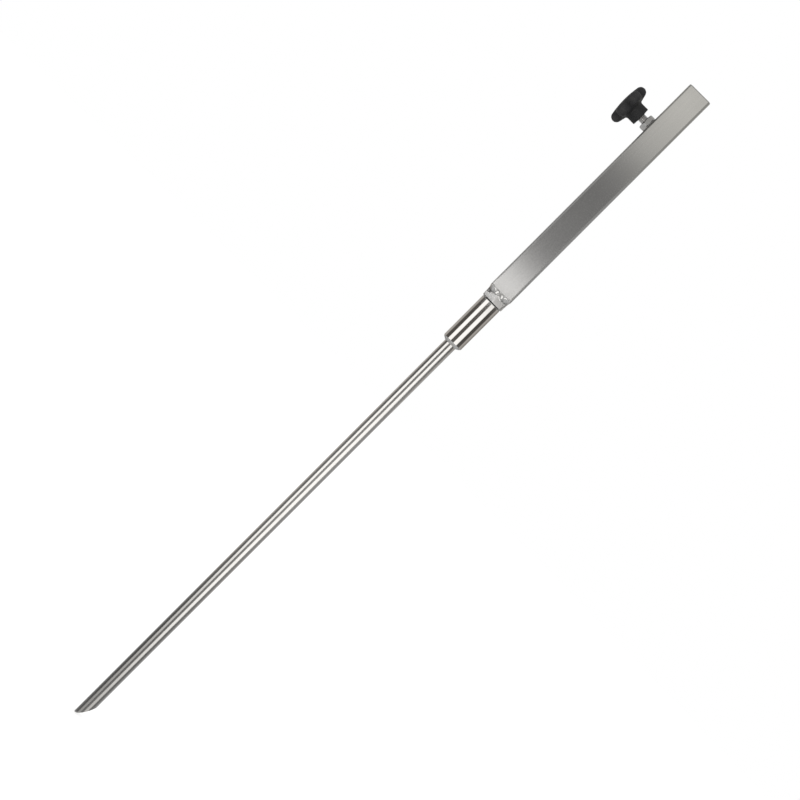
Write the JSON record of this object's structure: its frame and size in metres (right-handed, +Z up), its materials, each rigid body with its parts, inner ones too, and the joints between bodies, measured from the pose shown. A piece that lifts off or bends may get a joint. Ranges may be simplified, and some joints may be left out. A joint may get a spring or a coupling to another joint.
{
  "type": "bank stick",
  "caption": "Square steel holder tube with a side clamp screw, screwed onto a round ground spike with a slant-cut point, to hold fishing gear on a bank.",
  "frame": {"origin": "on the stick's axis, at the height of the spike's point", "axes": "+Z up along the stick from the point to the open end of the square tube, -X towards the clamp knob, -Y towards the viewer of the picture"},
  "size_m": [0.0576, 0.0376, 0.8],
  "materials": {
    "satin_steel": "satin brushed stainless steel, grain round the tube",
    "polished_steel": "polished stainless steel with fine lengthwise lines",
    "nut_steel": "bright stainless steel, machined",
    "weld_steel": "weld metal, rippled, grey with bright spots",
    "black_plastic": "black moulded plastic, fine grain"
  },
  "bodies": {
    "spike": {"ground_rod": "polished_steel", "rod_weld": "weld_steel", "coupling_sleeve": "polished_steel"},
    "coupling_screw": {"coupling_stud": "nut_steel"},
    "holder": {"holder_tube": "satin_steel", "socket_nut": "nut_steel", "socket_weld": "weld_steel", "clamp_nut": "nut_steel", "nut_weld": "weld_steel"},
    "clamp_screw": {"clamp_stud": "nut_steel"},
    "knob": {"clamp_knob": "black_plastic"}
  },
  "joints": [
    {"name": "coupling_travel", "type": "slide", "parent": "spike", "child": "coupling_screw", "axis": [0, 0, 1], "range_m": [0, 0.0261]},
    {"name": "coupling_turn", "type": "hinge", "parent": "coupling_screw", "child": "holder", "pos_m": [0, 0, 0.5383], "axis": [0, 0, 1], "range_deg": [0, 4680]},
    {"name": "clamp_travel", "type": "slide", "parent": "holder", "child": "clamp_screw", "axis": [1, 0, 0], "range_m": [-0.0116, 0.0046]},
    {"name": "clamp_turn", "type": "hinge", "parent": "clamp_screw", "child": "knob", "pos_m": [-0.0232, 0, 0.7505], "axis": [1, 0, 0], "range_deg": [-3312, 1296]}
  ],
  "couplings": [
    {"joint": "coupling_travel", "follows": "coupling_turn", "m_per_rad": 0.00031831},
    {"joint": "clamp_travel", "follows": "clamp_turn", "m_per_rad": 0.00019894}
  ]
}
